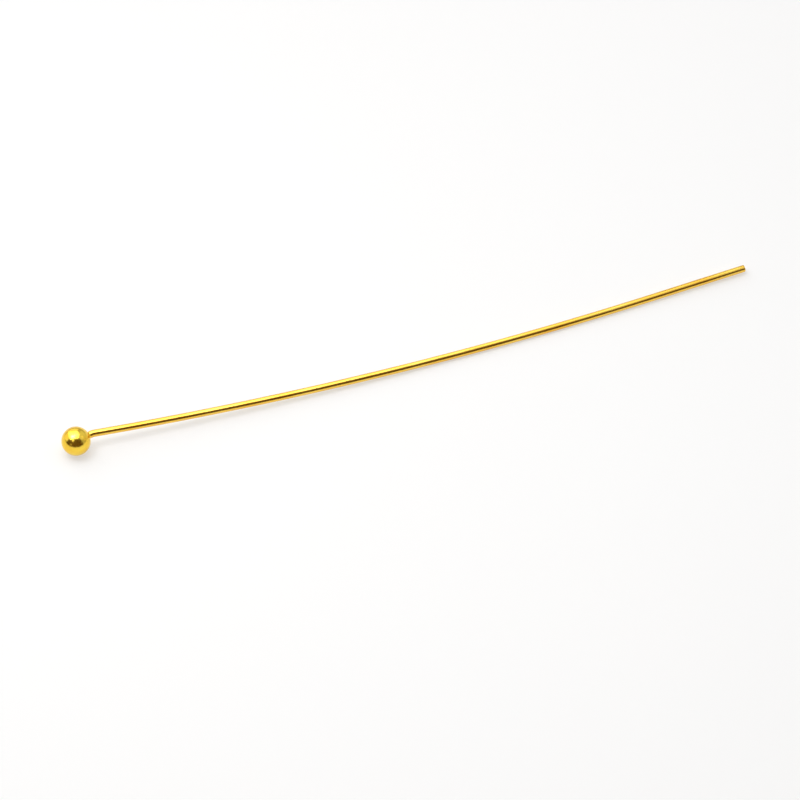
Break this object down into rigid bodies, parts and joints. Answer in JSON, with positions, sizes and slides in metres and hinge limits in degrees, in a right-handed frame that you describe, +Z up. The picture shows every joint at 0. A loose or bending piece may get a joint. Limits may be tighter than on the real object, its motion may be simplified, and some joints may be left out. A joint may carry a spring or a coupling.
{
  "type": "ball head pin",
  "caption": "Straight pin of round gold-plated wire with a polished ball head, a slight bow and a blunt cut tip, used to hold beads.",
  "frame": {"origin": "on the surface that the pin lies on, under the middle of its box", "axes": "+X along the pin from the ball to the cut tip, +Y across it on the inner side of the bow, +Z up from the surface it lies on"},
  "size_m": [0.05, 0.002, 0.002],
  "materials": {
    "gold_plated_brass": "thin bright gold plating on drawn brass wire, polished and tumbled"
  },
  "bodies": {
    "root": {"ball_head_pin": "gold_plated_brass"}
  },
  "joints": []
}
